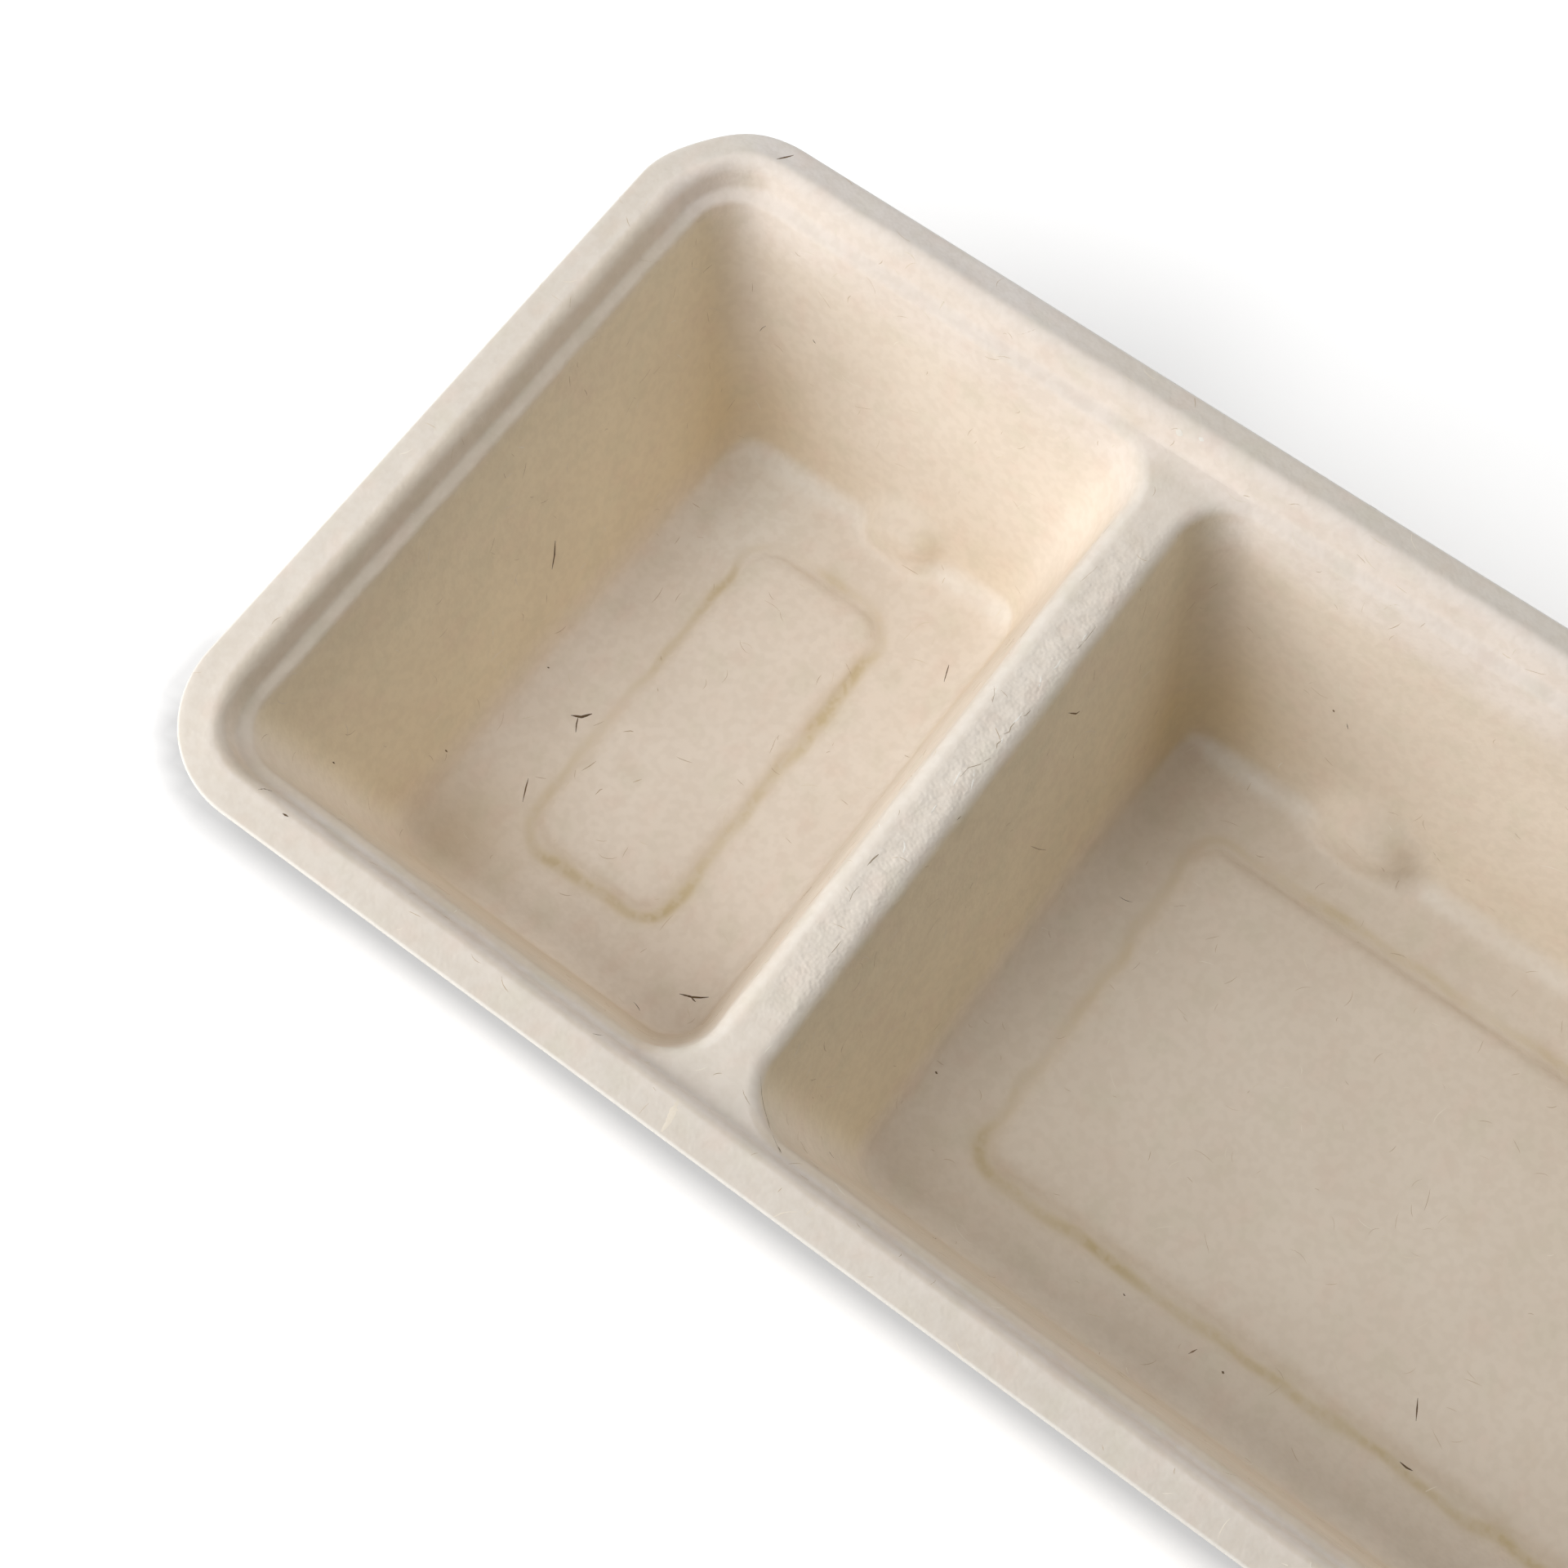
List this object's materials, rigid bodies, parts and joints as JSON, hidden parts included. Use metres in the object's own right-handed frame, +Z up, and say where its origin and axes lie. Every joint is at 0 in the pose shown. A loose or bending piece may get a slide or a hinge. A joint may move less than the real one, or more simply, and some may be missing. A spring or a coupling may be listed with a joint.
{
  "type": "bagasse chip tray",
  "caption": "Oblong moulded-fibre food tray with a small and a large compartment, a stepped rim with a lid ledge, drafted walls and raised floor panels.",
  "frame": {"origin": "middle of the tray's length and width, on the plane that its floor rings stand on", "axes": "+X along the length from the small compartment to the large one, +Y across to the side with the lugs, +Z up"},
  "size_m": [0.274, 0.12, 0.049],
  "materials": {
    "fibre": "matt unbleached bagasse pulp, hot pressed, with fine fibres and a few dark flecks"
  },
  "bodies": {
    "root": {"tray": "fibre"}
  },
  "joints": []
}
